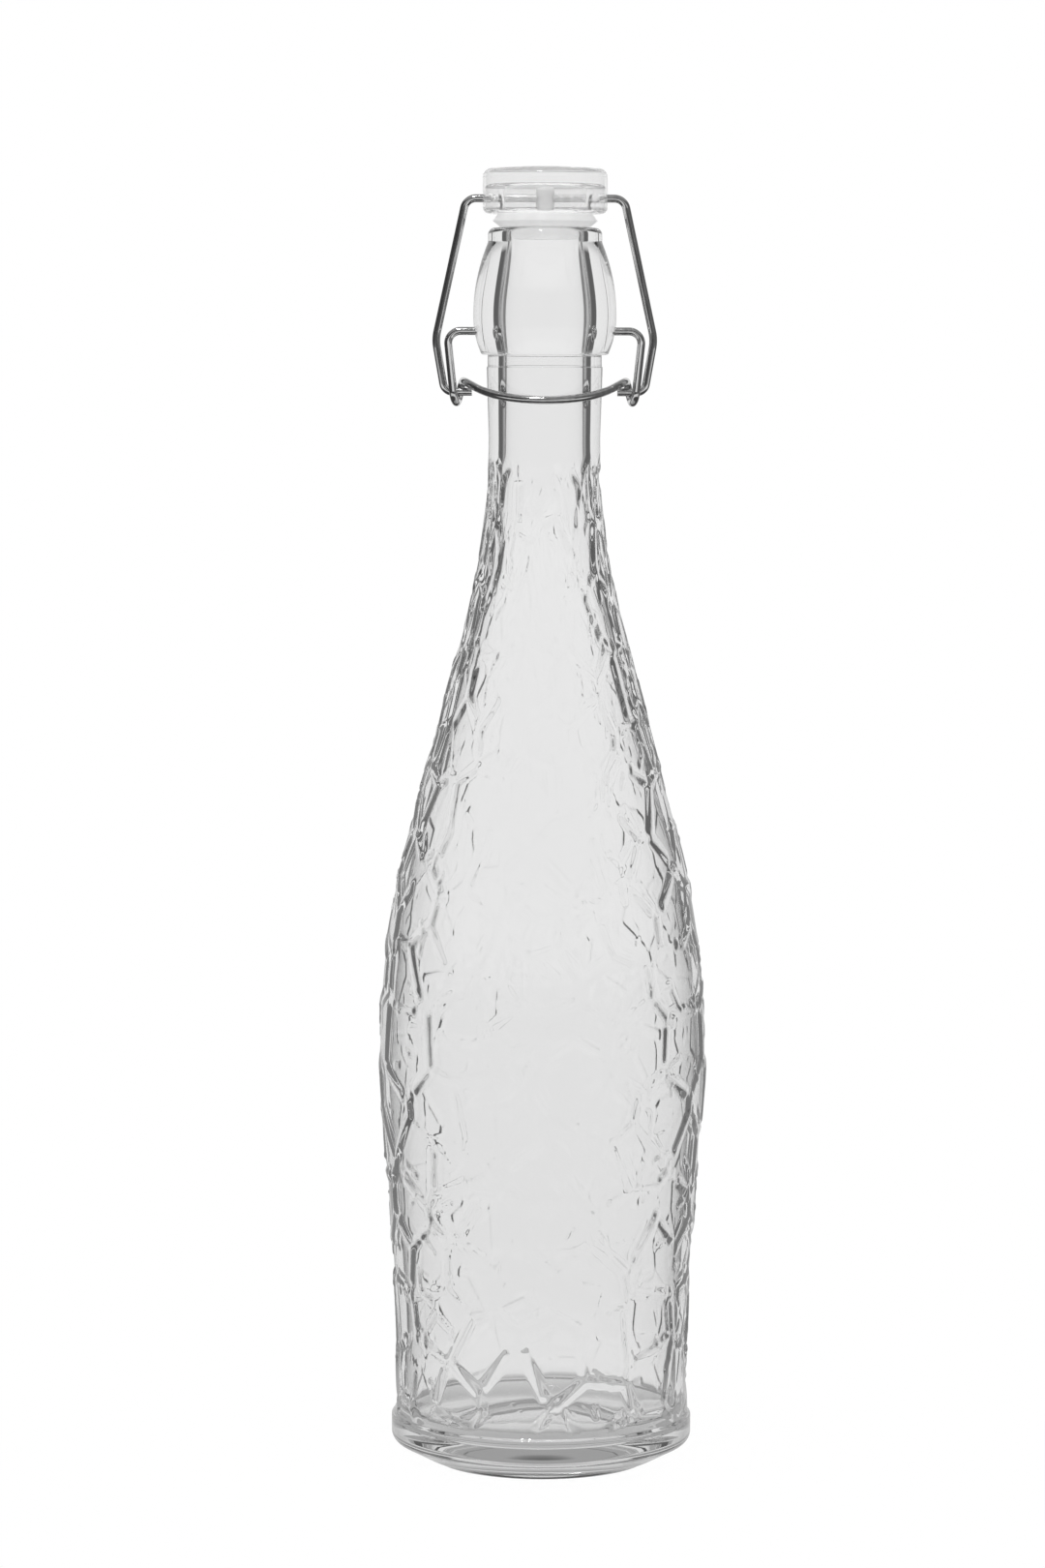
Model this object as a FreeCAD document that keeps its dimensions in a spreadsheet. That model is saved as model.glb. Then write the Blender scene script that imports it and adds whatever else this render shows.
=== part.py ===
import FreeCAD, Part
import math
import os
import random
import Sketcher

# Swing top bottle: a glass bottle, a clear stopper cap with its silicone seal, and two bent wires.
# Millimetres. The origin is the middle of the foot, +Z is up, and the lever's thumb arc is at -Y.

SIZES = {
    # glass, outside
    "bottle_height": 307.5,
    "foot_diameter": 54.0,
    "foot_land": 4.0,
    "foot_height": 1.2,
    "foot_round": 0.8,
    "punt_height": 7.0,
    "heel_slope": 27.4,
    "heel_round": 3.0,
    "band_diameter": 75.0,
    "band_bottom": 7.4,
    "band_top": 11.6,
    "waist_diameter": 73.6,
    "waist_height": 24.0,
    "belly_diameter": 82.2,
    "belly_height": 103.0,
    "belly_steepness": 1.315,
    "belly_share": 0.763,
    "neck_length": 17.3,
    "shoulder_steepness": 1.475,
    "shoulder_share": 0.546,
    "neck_diameter": 27.6,
    "neck_top_diameter": 28.7,
    "collar_diameter": 28.2,
    "mould_line_drop": 34.2,
    "finish_length": 31.2,
    "ledge_diameter": 31.8,
    "ledge_round": 0.7,
    "finish_diameter": 35.4,
    "finish_widest_drop": 21.7,
    "rim_diameter": 28.2,
    "rim_height": 3.6,
    "rim_round": 1.7,
    # glass, inside
    "mouth_bore": 17.7,
    "mouth_bore_length": 4.0,
    "mouth_round": 0.5,
    "finish_bore": 20.9,
    "neck_bore": 19.7,
    "bore_steepness": 1.5,
    "bore_share": 0.5,
    "body_wall": 3.2,
    "base_thickness": 7.0,
    "inner_corner": 8.0,
    "cut_overrun": 1.0,
    # crackle relief: shallow cells that leave a net of ridges at the outside's own radius
    "crackle_depth": 0.6,
    "crackle_ridge": 1.2,
    "crackle_draft": 8.0,
    "crackle_cell_width": 17.2,
    "crackle_cell_height": 14.5,
    "crackle_wander": 0.36,
    "crackle_margin": 1.0,
    "crackle_first_rise": 8.7,
    "crackle_overrun": 0.4,
    # wires and their seats
    "wire_diameter": 2.0,
    "pivot_drop": 25.4,
    "socket_depth": 4.0,
    "socket_clearance": 0.1,
    "socket_end_gap": 0.1,
    # lever
    "lever_half_width": 24.2,
    "lever_bend": 3.0,
    "eye_half_spacing": 22.6,
    "eye_drop": 15.0,
    "eye_over_centre": 1.2,
    "eye_clearance": 0.6,
    "eye_pitch": 2.5,
    "eye_exit": 1.5,
    "arc_spread": 62.0,
    "arc_drop": 16.8,
    "arc_gap": 0.35,
    # bail
    "bail_rise": 7.2,
    "bail_shoulder": 19.5,
    "bail_shoulder_bend": 3.0,
    "bail_knee": 27.0,
    "bail_knee_drop": 34.7,
    "bail_knee_bend": 10.0,
    "bail_foot": 24.75,
    "bail_foot_bend": 2.4,
    "bail_pin_end": 18.0,
    # stopper cap
    "cap_diameter": 30.8,
    "cap_height": 11.7,
    "cap_crown": 0.6,
    "cap_top_round": 2.0,
    "cap_bottom_round": 1.6,
    "cap_hollow": 20.4,
    "cap_hollow_depth": 7.4,
    "cap_hollow_round": 1.4,
    "wire_bore_clearance": 0.1,
    # stopper seal
    "seal_thickness": 3.15,
    "seal_top_diameter": 23.2,
    "seal_tip_diameter": 25.9,
    "seal_bottom_diameter": 22.4,
    "seal_tip_height": 1.4,
    "seat_gap": 0.25,
    "plug_depth": 3.2,
    "plug_clearance": 0.45,
    "plug_chamfer": 0.8,
    "stem_diameter": 4.6,
    "stem_tip_diameter": 3.0,
    "stem_tip_length": 1.4,
    "stem_end_gap": 0.1,
}

# The crackle comes round this many times, and the seed fixes where its cells stray.
CRACKLE_REPEATS = 3
CRACKLE_SEED = 11

# Upright curves of the glass outside: name, then radius and height of the lower and the upper end.
FLANK = ("flank", "waist_r", "waist_height", "belly_r", "belly_height")
SHOULDER = ("shoulder", "belly_r", "belly_height", "neck_r", "shoulder_top")

doc = FreeCAD.newDocument("swing_top_bottle")
sheet = doc.addObject("Spreadsheet::Sheet", "Dimensions")
used_rows = 0


def add_cell(alias, text):
    global used_rows
    used_rows += 1
    sheet.set("A%d" % used_rows, alias.replace("_", " "))
    sheet.set("B%d" % used_rows, text)
    sheet.setAlias("B%d" % used_rows, alias)


def add_places(formulas):
    for alias, formula in formulas.items():
        add_cell(alias, "=" + formula)
    doc.recompute()


def size(alias):
    found = sheet.get(alias)
    return getattr(found, "Value", found)


for alias, number in SIZES.items():
    add_cell(alias, str(number))

# Radii and heights that follow from the sizes above.
add_places({
    "mouth": "bottle_height",
    "foot_r": "foot_diameter / 2",
    "foot_flat_r": "foot_r - foot_round",
    "punt_r": "foot_r - foot_land",
    "band_r": "band_diameter / 2",
    "heel_top_r": "band_r - heel_round * (1 - sin(heel_slope))",
    "heel_top": "band_bottom - heel_round * cos(heel_slope)",
    "heel_r": "heel_top_r - (heel_top - foot_height) / tan(heel_slope)",
    "waist_r": "waist_diameter / 2",
    "waist_bottom": "band_top + band_r - waist_r",
    "belly_r": "belly_diameter / 2",
    "neck_r": "neck_diameter / 2",
    "neck_top_r": "neck_top_diameter / 2",
    "collar_r": "collar_diameter / 2",
    "mould_line": "mouth - mould_line_drop",
    "shoulder_top": "mould_line - neck_length",
    "ledge": "mouth - finish_length",
    "ledge_r": "ledge_diameter / 2",
    "ledge_flat_r": "ledge_r - ledge_round",
    "ledge_side": "ledge + ledge_round",
    "finish_r": "finish_diameter / 2",
    "finish_widest": "mouth - finish_widest_drop",
    "rim_r": "rim_diameter / 2",
    "rim_bottom": "mouth - rim_height",
    "rim_side": "mouth - rim_round",
    "rim_flat_r": "rim_r - rim_round",
    "mouth_bore_r": "mouth_bore / 2",
    "mouth_bore_end": "mouth - mouth_bore_length",
    "mouth_edge": "mouth - mouth_round",
    "mouth_edge_r": "mouth_bore_r + mouth_round",
    "above_mouth": "mouth + cut_overrun",
    "finish_bore_r": "finish_bore / 2",
    "neck_bore_r": "neck_bore / 2",
    "belly_inner_r": "belly_r - body_wall",
    "waist_inner_r": "waist_r - body_wall",
    "floor_middle": "punt_height + base_thickness",
    "floor_edge": "foot_height + base_thickness",
    "floor_edge_r": "waist_inner_r - inner_corner",
    "inner_side": "floor_edge + inner_corner",
    "crackle_foot": "waist_bottom + crackle_margin",
    "crackle_first": "crackle_foot + crackle_first_rise",
    "crackle_top": "shoulder_top - crackle_cell_height / 2",
    "crackle_stop_r": "belly_r + cut_overrun",
    "ground_waist_r": "waist_r - crackle_depth",
    "ground_belly_r": "belly_r - crackle_depth",
    "ground_neck_r": "neck_r - crackle_depth",
    "wire_r": "wire_diameter / 2",
    "pivot": "mouth - pivot_drop",
    "socket_r": "wire_r + socket_clearance",
    "socket_floor": "finish_r - socket_depth",
    "socket_side": "socket_floor + socket_r",
    "socket_open": "finish_r + wire_diameter",
    "pin_end": "socket_side + socket_end_gap",
    "eye": "pivot - eye_drop",
    "eye_r": "wire_diameter + eye_clearance",
    "bail_axis": "mouth + bail_rise",
    "bail_length": "sqrt((bail_axis - eye) * (bail_axis - eye) + eye_over_centre * eye_over_centre)",
    "bail_lean": "atan(eye_over_centre / (bail_axis - eye))",
    "arc_front": "neck_top_r + arc_gap + wire_r",
    "wire_bore": "wire_diameter + 2 * wire_bore_clearance",
    "seal_bottom": "mouth + seat_gap",
    "seal_tip": "seal_bottom + seal_tip_height",
    "seal_top": "seal_bottom + seal_thickness",
    "seal_top_r": "seal_top_diameter / 2",
    "seal_tip_r": "seal_tip_diameter / 2",
    "seal_bottom_r": "seal_bottom_diameter / 2",
    "plug_r": "mouth_bore_r - plug_clearance",
    "plug_end": "seal_bottom - plug_depth",
    "plug_end_r": "plug_r - plug_chamfer",
    "plug_side": "plug_end + plug_chamfer",
    "stem_r": "stem_diameter / 2",
    "stem_tip_r": "stem_tip_diameter / 2",
    "cap_bottom": "seal_top",
    "cap_top": "cap_bottom + cap_height",
    "cap_r": "cap_diameter / 2",
    "cap_flat_r": "cap_r - cap_bottom_round",
    "cap_side_bottom": "cap_bottom + cap_bottom_round",
    "cap_edge": "cap_top - cap_crown",
    "cap_edge_r": "cap_r - cap_top_round",
    "cap_side_top": "cap_edge - cap_top_round",
    "hollow_r": "cap_hollow / 2",
    "hollow_top": "cap_bottom + cap_hollow_depth",
    "hollow_side": "hollow_top - cap_hollow_round",
    "hollow_flat_r": "hollow_r - cap_hollow_round",
    "below_cap": "cap_bottom - cut_overrun",
    "stem_end": "hollow_top - stem_end_gap",
    "stem_side": "stem_end - stem_tip_length",
})


def add_s_curve(name, low_r, low, high_r, high, steepness, share):
    """Upright at both ends: an arc, a straight run and an arc from (low_r, low) to (high_r, high)."""
    names = dict(n=name, low_r=low_r, low=low, high_r=high_r, high=high, steepness=steepness, share=share)
    formulas = {
        "{n}_side": "({high_r}) - ({low_r})",
        "{n}_slope": "{steepness} * atan({n}_side / ({high} - {low}))",
        "{n}_sum": "(({high} - {low}) * sin({n}_slope) - {n}_side * cos({n}_slope)) / (1 - cos({n}_slope))",
        "{n}_low_arc": "{n}_sum * {share}",
        "{n}_high_arc": "{n}_sum * (1 - {share})",
        "{n}_run_start_r": "{low_r} + {n}_low_arc * (1 - cos({n}_slope))",
        "{n}_run_start": "{low} + {n}_low_arc * sin({n}_slope)",
        "{n}_run_end_r": "{high_r} - {n}_high_arc * (1 - cos({n}_slope))",
        "{n}_run_end": "{high} - {n}_high_arc * sin({n}_slope)",
    }
    add_places({alias.format(**names): text.format(**names) for alias, text in formulas.items()})
    return [
        ("level start", name + "_run_start_r", name + "_run_start"),
        ("line", name + "_run_end_r", name + "_run_end"),
        ("level end", high_r, high),
    ]


def new_sketch(body, name, role, rise=None):
    """A sketch on one of the body's origin planes, raised along its own Y by a cell."""
    sketch = body.newObject("Sketcher::SketchObject", name)
    plane = next(f for f in body.Origin.OriginFeatures if f.Role == role)
    sketch.AttachmentSupport = [(plane, "")]
    sketch.MapMode = "FlatFace"
    if rise:
        sketch.setExpression("AttachmentOffset.Base.y", "Dimensions." + rise)
    return sketch


def bind(sketch, constraint, alias):
    index = sketch.addConstraint(constraint)
    sketch.setExpression("Constraints[%d]" % index, "Dimensions." + alias)


def pin(sketch, edge, end, across, up):
    """Hold one end of an edge at two cells; an empty name puts it on that axis."""
    origin, vertical_axis, horizontal_axis = (-1, 1), -2, -1
    if across:
        bind(sketch, Sketcher.Constraint("DistanceX", *origin, edge, end, size(across)), across)
    else:
        sketch.addConstraint(Sketcher.Constraint("PointOnObject", edge, end, vertical_axis))
    if up:
        bind(sketch, Sketcher.Constraint("DistanceY", *origin, edge, end, size(up)), up)
    else:
        sketch.addConstraint(Sketcher.Constraint("PointOnObject", edge, end, horizontal_axis))


def arc_centre(kind, start, end):
    """Centre of the arc that is upright (level) or flat (plumb) at its start or end."""
    here, there = (start, end) if kind.endswith("start") else (end, start)
    step = there - here
    reach = step.Length ** 2 / 2
    if kind.startswith("level"):
        return here + FreeCAD.Vector(reach / step.x, 0, 0)
    return here + FreeCAD.Vector(0, reach / step.y, 0)


def add_arc(sketch, start, centre, end):
    """The shorter arc, with the numbers that the sketch gives to its start and its end."""
    circle = Part.Circle(centre, FreeCAD.Vector(0, 0, 1), (start - centre).Length)
    forward = (start - centre).cross(end - centre).z > 0
    one, two = (start, end) if forward else (end, start)
    angles = [math.atan2(p.y - centre.y, p.x - centre.x) for p in (one, two)]
    edge = sketch.addGeometry(Part.ArcOfCircle(circle, *angles))
    return (edge, 1, 2) if forward else (edge, 2, 1)


def draw_outline(sketch, first, steps):
    """A closed outline from a first point and steps of (kind, across cell, up cell)."""
    def spot(across, up):
        return FreeCAD.Vector(size(across) if across else 0, size(up) if up else 0, 0)

    ends = []
    at = first
    for kind, across, up in steps + [("line",) + first]:
        start, end = spot(*at), spot(across, up)
        if kind == "line":
            ends.append((sketch.addGeometry(Part.LineSegment(start, end)), 1, 2))
        else:
            ends.append(add_arc(sketch, start, arc_centre(kind, start, end), end))
            edge, one, two = ends[-1]
            rule = "Horizontal" if kind.startswith("level") else "Vertical"
            aligned = one if kind.endswith("start") else two
            sketch.addConstraint(Sketcher.Constraint(rule, edge, 3, edge, aligned))
        at = (across, up)
    corners = [first] + [step[1:] for step in steps]
    for (edge, start, _), before, corner in zip(ends, [ends[-1]] + ends[:-1], corners):
        sketch.addConstraint(Sketcher.Constraint("Coincident", before[0], before[2], edge, start))
        pin(sketch, edge, start, *corner)


def new_body(name):
    body = doc.addObject("PartDesign::Body", name)
    body.Label = name
    return body


def revolve(body, kind, sketch, axis="V_Axis"):
    feature = body.newObject("PartDesign::" + kind, sketch.Name + "_turn")
    feature.Profile = sketch
    feature.ReferenceAxis = (sketch, [axis])
    feature.Angle = 360
    return feature


def cross_hole(body, name, height, diameter, length):
    """A round hole along X, right through."""
    sketch = new_sketch(body, name, "YZ_Plane", rise=height)
    circle = sketch.addGeometry(Part.Circle(FreeCAD.Vector(), FreeCAD.Vector(0, 0, 1), size(diameter) / 2))
    sketch.addConstraint(Sketcher.Constraint("Coincident", circle, 3, -1, 1))
    bind(sketch, Sketcher.Constraint("Diameter", circle, size(diameter)), diameter)
    hole = body.newObject("PartDesign::Pocket", name + "_hole")
    hole.Profile = sketch
    hole.Midplane = True
    hole.setExpression("Length", "Dimensions." + length)
    return hole


def cut_check(feature):
    """A cut that points the wrong way removes nothing, so the volumes are compared."""
    doc.recompute()
    if feature.Shape.Volume >= feature.BaseFeature.Shape.Volume:
        raise ValueError(feature.Name + " removes nothing")


def make_turned_bottle():
    """The bottle without its crackle: the turned glass, its cavity and the lever's sockets."""
    body = new_body("bottle_turned")
    outside = new_sketch(body, "glass_outside", "XZ_Plane")
    lower = add_s_curve(*FLANK, "belly_steepness", "belly_share")
    upper = add_s_curve(*SHOULDER, "shoulder_steepness", "shoulder_share")
    draw_outline(outside, ("", "punt_height"), [
        ("plumb start", "punt_r", ""),
        ("line", "foot_flat_r", ""),
        ("plumb start", "foot_r", "foot_round"),
        ("line", "foot_r", "foot_height"),
        ("line", "heel_r", "foot_height"),
        ("line", "heel_top_r", "heel_top"),
        ("level end", "band_r", "band_bottom"),
        ("line", "band_r", "band_top"),
        ("line", "waist_r", "waist_bottom"),
        ("line", "waist_r", "waist_height"),
        *lower,
        *upper,
        ("line", "neck_top_r", "mould_line"),
        ("line", "collar_r", "mould_line"),
        ("line", "collar_r", "ledge"),
        ("line", "ledge_flat_r", "ledge"),
        ("plumb start", "ledge_r", "ledge_side"),
        ("level end", "finish_r", "finish_widest"),
        ("level start", "rim_r", "rim_bottom"),
        ("line", "rim_r", "rim_side"),
        ("level start", "rim_flat_r", "mouth"),
        ("line", "", "mouth"),
    ])
    revolve(body, "Revolution", outside)

    inside = new_sketch(body, "glass_inside", "XZ_Plane")
    inner_lower = add_s_curve("hollow_flank", "waist_inner_r", "waist_height", "belly_inner_r",
                              "belly_height", "belly_steepness", "belly_share")
    inner_upper = add_s_curve("hollow_shoulder", "belly_inner_r", "belly_height", "neck_bore_r",
                              "shoulder_top", "shoulder_steepness", "shoulder_share")
    bore_out = add_s_curve("bore_out", "neck_bore_r", "ledge", "finish_bore_r", "finish_widest",
                           "bore_steepness", "bore_share")
    bore_in = add_s_curve("bore_in", "finish_bore_r", "finish_widest", "mouth_bore_r",
                          "mouth_bore_end", "bore_steepness", "bore_share")
    draw_outline(inside, ("", "floor_middle"), [
        ("plumb start", "floor_edge_r", "floor_edge"),
        ("level end", "waist_inner_r", "inner_side"),
        ("line", "waist_inner_r", "waist_height"),
        *inner_lower,
        *inner_upper,
        ("line", "neck_bore_r", "ledge"),
        *bore_out,
        *bore_in,
        ("line", "mouth_bore_r", "mouth_edge"),
        ("level start", "mouth_edge_r", "mouth"),
        ("line", "mouth_edge_r", "above_mouth"),
        ("line", "", "above_mouth"),
    ])
    cut_check(revolve(body, "Groove", inside))

    # The lever's pins sit in two blind round-ended sockets in the finish.
    socket = new_sketch(body, "lever_socket", "XZ_Plane", rise="pivot")
    draw_outline(socket, ("socket_floor", ""), [
        ("level start", "socket_side", "socket_r"),
        ("line", "socket_open", "socket_r"),
        ("line", "socket_open", ""),
    ])
    right = revolve(body, "Groove", socket, "H_Axis")
    cut_check(right)
    both = body.newObject("PartDesign::Mirrored", "lever_sockets")
    both.Originals = [right]
    both.MirrorPlane = (next(f for f in body.Origin.OriginFeatures if f.Role == "YZ_Plane"), [""])
    body.Tip = both
    return body


def curve_radius(name, low_r, low, high_r, high, height):
    """Radius at a height on one of the upright curves."""
    start, end = size(name + "_run_start"), size(name + "_run_end")
    if height < start:
        arc = size(name + "_low_arc")
        return size(low_r) + arc - math.copysign(math.sqrt(arc ** 2 - (height - size(low)) ** 2), arc)
    if height > end:
        arc = size(name + "_high_arc")
        return size(high_r) - arc + math.copysign(math.sqrt(arc ** 2 - (size(high) - height) ** 2), arc)
    share = (height - start) / (end - start)
    return size(name + "_run_start_r") * (1 - share) + size(name + "_run_end_r") * share


def glass_radius(height):
    """Outside radius of the turned glass, from the waist to the neck."""
    if height < size("waist_height"):
        return size("waist_r")
    if height > size("shoulder_top"):
        return size("neck_r")
    return curve_radius(*(FLANK if height < size("belly_height") else SHOULDER), height)


def glass_point(angle, height):
    radius = glass_radius(height)
    return FreeCAD.Vector(radius * math.cos(angle), radius * math.sin(angle), height)


def crackle_centres():
    """Angle and height of each centre in one repeat, and whether it is a cell or in a spare end row."""
    rng = random.Random(CRACKLE_SEED)
    turn = math.tau / CRACKLE_REPEATS
    columns = max(1, round(turn * size("belly_r") / size("crackle_cell_width")))
    last_row = math.floor((size("crackle_top") - size("crackle_first")) / size("crackle_cell_height"))
    wander = size("crackle_wander")
    centres = []
    for row in range(-1, last_row + 2):
        for column in range(columns):
            across = column + row % 2 / 2 + rng.uniform(-wander, wander)
            up = row + rng.uniform(-wander, wander)
            height = size("crackle_first") + up * size("crackle_cell_height")
            centres.append((across * turn / columns, height, 0 <= row <= last_row))
    return centres


def clip(corners, normal, reach):
    """What a convex outline keeps on the near side of a line at that distance along its normal."""
    kept = []
    for one, two in zip(corners, corners[1:] + corners[:1]):
        past_one, past_two = normal.dot(one) - reach, normal.dot(two) - reach
        if past_one <= 0:
            kept.append(one)
        if past_one * past_two < 0:
            kept.append(one + (two - one) * (past_one / (past_one - past_two)))
    return kept


def cell_corners(angle, height, centres):
    """Corners of what lies nearest to one centre, on a flat sheet as wide as the belly's girth."""
    across, up = 2 * size("crackle_cell_width"), 2 * size("crackle_cell_height")
    corners = [FreeCAD.Vector(0, y * across, z * up) for y, z in ((-1, -1), (1, -1), (1, 1), (-1, 1))]
    turn, girth_r = math.tau / CRACKLE_REPEATS, size("belly_r")
    for other_angle, other_height, _ in centres:
        for shift in (-turn, 0, turn):
            towards = FreeCAD.Vector(0, (other_angle + shift - angle) * girth_r, other_height - height)
            halfway = towards.Length / 2
            if halfway:
                corners = clip(corners, towards.normalize(), halfway)
    return corners


def cell_cutter(angle, height, corners):
    """A solid over one cell, drawn on the plane that touches the glass at its centre.

    It narrows inwards, leaves half a ridge along each side and ends below the crackle's ground.
    """
    overrun, half_ridge = size("crackle_overrun"), size("crackle_ridge") / 2
    slope = (glass_radius(height + overrun) - glass_radius(height - overrun)) / (2 * overrun)
    lean = FreeCAD.Rotation(FreeCAD.Vector(0, 1, 0), math.degrees(math.atan(slope)))
    spin = FreeCAD.Rotation(FreeCAD.Vector(0, 0, 1), math.degrees(angle))
    place = FreeCAD.Placement(glass_point(angle, height), spin.multiply(lean))
    to_plane = place.inverse()
    on_glass = [glass_point(angle + corner.y / size("belly_r"), height + corner.z) for corner in corners]
    drawn = [to_plane.multVec(point) for point in on_glass]
    outline = [FreeCAD.Vector(0, point.y, point.z) for point in drawn]
    inset = outline
    for one, two in zip(outline, outline[1:] + outline[:1]):
        side = two - one
        outward = FreeCAD.Vector(0, side.z, -side.y).normalize()
        inset = clip(inset, outward, outward.dot(one) - half_ridge)

    narrowing = math.tan(math.radians(size("crackle_draft"))) / (size("crackle_cell_height") / 2)
    levels = [0] + [point.x for point in drawn]
    rings = []
    for level in (max(levels) + overrun, min(levels) - size("crackle_depth") - overrun):
        share = 1 + narrowing * level
        rings.append([place.multVec(FreeCAD.Vector(level, p.y * share, p.z * share)) for p in inset])
    top, end = rings
    walls = [[top[i - 1], top[i], end[i], end[i - 1]] for i in range(len(inset))]
    faces = [Part.Face(Part.makePolygon(points + points[:1])) for points in [top, end] + walls]
    return Part.Solid(Part.Shell(faces))


def make_crackle_ground():
    """A turned solid whose side is the floor of the crackle's cells and whose ledge ends them below."""
    body = new_body("crackle_ground")
    outline = new_sketch(body, "ground_outline", "XZ_Plane")
    lower = add_s_curve("ground_flank", "ground_waist_r", "waist_height", "ground_belly_r",
                        "belly_height", "belly_steepness", "belly_share")
    upper = add_s_curve("ground_shoulder", "ground_belly_r", "belly_height", "ground_neck_r",
                        "shoulder_top", "shoulder_steepness", "shoulder_share")
    draw_outline(outline, ("", ""), [
        ("line", "crackle_stop_r", ""),
        ("line", "crackle_stop_r", "crackle_foot"),
        ("line", "ground_waist_r", "crackle_foot"),
        ("line", "ground_waist_r", "waist_height"),
        *lower,
        *upper,
        ("line", "", "shoulder_top"),
    ])
    revolve(body, "Revolution", outline)
    return body


def make_bottle():
    """The turned bottle with the cells of its crackle cut into the outside."""
    turned, ground = make_turned_bottle(), make_crackle_ground()
    doc.recompute()
    centres = crackle_centres()
    cutters = [cell_cutter(angle, height, cell_corners(angle, height, centres))
               for angle, height, is_cell in centres if is_cell]
    repeat = Part.makeCompound(cutters).cut(ground.Shape)
    origin, axis, turn = FreeCAD.Vector(), FreeCAD.Vector(0, 0, 1), 360 / CRACKLE_REPEATS
    repeats = [repeat.rotated(origin, axis, turn * i) for i in range(CRACKLE_REPEATS)]
    cells = doc.addObject("Part::Feature", "crackle_cells")
    cells.Shape = Part.makeCompound(repeats)
    bottle = doc.addObject("Part::Feature", "bottle")
    bottle.Label = "bottle"
    bottle.Shape = turned.Shape.cut(cells.Shape)
    removed = turned.Shape.Volume - bottle.Shape.Volume
    print("crackle: %d cells, %.0f mm3 of glass cut away" % (len(cells.Shape.Solids), removed))
    return bottle


def make_cap():
    body = new_body("stopper_cap")
    outside = new_sketch(body, "cap_outside", "XZ_Plane")
    draw_outline(outside, ("", "cap_bottom"), [
        ("line", "cap_flat_r", "cap_bottom"),
        ("plumb start", "cap_r", "cap_side_bottom"),
        ("line", "cap_r", "cap_side_top"),
        ("level start", "cap_edge_r", "cap_edge"),
        ("plumb end", "", "cap_top"),
    ])
    revolve(body, "Revolution", outside)
    under = new_sketch(body, "cap_hollow_outline", "XZ_Plane")
    draw_outline(under, ("", "below_cap"), [
        ("line", "hollow_r", "below_cap"),
        ("line", "hollow_r", "hollow_side"),
        ("level start", "hollow_flat_r", "hollow_top"),
        ("line", "", "hollow_top"),
    ])
    cut_check(revolve(body, "Groove", under))
    cut_check(cross_hole(body, "cap_wire", "bail_axis", "wire_bore", "cap_diameter"))
    return body


def make_seal():
    body = new_body("stopper_seal")
    outline = new_sketch(body, "seal_outline", "XZ_Plane")
    draw_outline(outline, ("", "plug_end"), [
        ("line", "plug_end_r", "plug_end"),
        ("line", "plug_r", "plug_side"),
        ("line", "plug_r", "seal_bottom"),
        ("line", "seal_bottom_r", "seal_bottom"),
        ("line", "seal_tip_r", "seal_tip"),
        ("line", "seal_top_r", "seal_top"),
        ("line", "stem_r", "seal_top"),
        ("line", "stem_r", "stem_side"),
        ("line", "stem_tip_r", "stem_end"),
        ("line", "", "stem_end"),
    ])
    revolve(body, "Revolution", outline)
    cut_check(cross_hole(body, "seal_wire", "bail_axis", "wire_bore", "seal_tip_diameter"))
    return body


def corner_arc(leave, corner, join):
    """The arc that runs from leave to join inside their corner, which is equally far from both."""
    back, on = (leave - corner).normalize(), (join - corner).normalize()
    half = back.getAngle(on) / 2
    inward = (back + on).normalize()
    reach = (leave - corner).Length
    return Part.Arc(leave, corner + inward * reach * (1 / math.cos(half) - math.tan(half)), join)


def bend_ends(before, corner, after, radius):
    """Where a bend of that radius starts and ends on the two runs that meet at a corner."""
    back, on = (before - corner).normalize(), (after - corner).normalize()
    reach = radius / math.tan(back.getAngle(on) / 2)
    return corner + back * reach, corner + on * reach


def biarc(start, heading, end, final_heading):
    """Two arcs that leave start along heading and reach end along final_heading."""
    chord, both = end - start, heading + final_heading
    bend = 2 * (1 - heading.dot(final_heading))
    along = chord.dot(both)
    reach = (math.sqrt(along ** 2 + bend * chord.Length ** 2) - along) / bend
    first, second = start + heading * reach, end - final_heading * reach
    meet = (first + second) / 2
    return [corner_arc(start, first, meet), corner_arc(meet, second, end)]


def add_wire_circle(sketch):
    circle = sketch.addGeometry(Part.Circle(FreeCAD.Vector(), FreeCAD.Vector(0, 0, 1), size("wire_r")))
    sketch.addConstraint(Sketcher.Constraint("Coincident", circle, 3, -1, 1))
    bind(sketch, Sketcher.Constraint("Radius", circle, size("wire_r")), "wire_r")


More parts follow.
